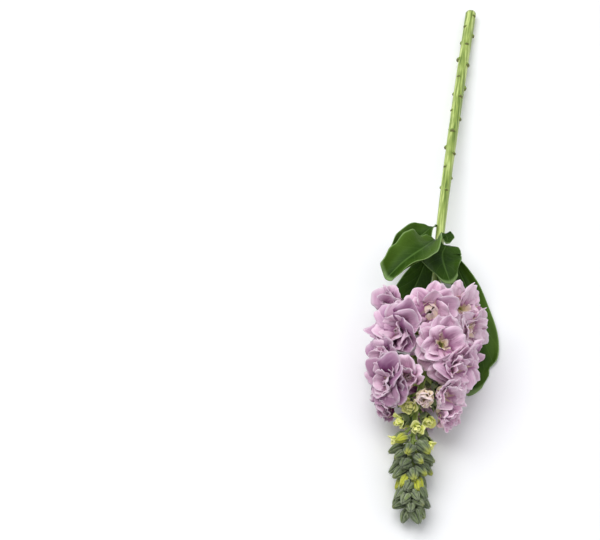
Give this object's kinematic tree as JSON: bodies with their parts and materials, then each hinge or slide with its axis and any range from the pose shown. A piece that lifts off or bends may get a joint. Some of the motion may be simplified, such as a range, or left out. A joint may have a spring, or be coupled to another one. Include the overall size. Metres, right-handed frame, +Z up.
{
  "type": "stock flower stem",
  "caption": "Cut stem of double-flowered stock lying on its side, with lilac pink ruffled florets, a spike of grey-green buds at the tip and wavy dark leaves below the head.",
  "frame": {"origin": "on the table, under the middle of the stem's box", "axes": "+Y towards the cut end, the tip of the spike at -Y, +Z up from the table"},
  "size_m": [0.0861, 0.4874, 0.0627],
  "materials": {
    "stem_green": "satin",
    "bud_green": "matte",
    "leaf_green": "satin",
    "petal_pink": "matte",
    "young_pink": "matte",
    "petal_yellow": "matte"
  },
  "bodies": {
    "root": {"stem": "stem_green", "bud_spike": "bud_green", "bloom_01": "petal_pink", "bloom_02": "petal_pink", "bloom_03": "petal_pink", "bloom_04": "petal_pink", "bloom_05": "petal_pink", "bloom_06": "petal_pink", "bloom_07": "petal_pink", "bloom_08": "petal_pink", "bloom_09": "petal_pink", "bloom_10": "petal_pink", "bloom_11": "petal_pink", "bloom_12": "petal_pink", "bloom_13": "petal_pink", "bloom_14": "petal_pink", "young_01": "young_pink", "young_02": "young_pink", "young_03": "young_pink", "young_04": "young_pink", "young_05": "young_pink", "young_06": "young_pink", "opening_01": "petal_yellow", "opening_02": "petal_yellow", "opening_03": "petal_yellow", "opening_04": "petal_yellow", "opening_05": "petal_yellow", "opening_06": "petal_yellow", "opening_07": "petal_yellow", "opening_08": "petal_yellow", "leaf_1": "leaf_green", "leaf_2": "leaf_green", "leaf_3": "leaf_green", "leaf_4": "leaf_green", "leaf_5": "leaf_green", "leaf_6": "leaf_green"}
  },
  "joints": []
}
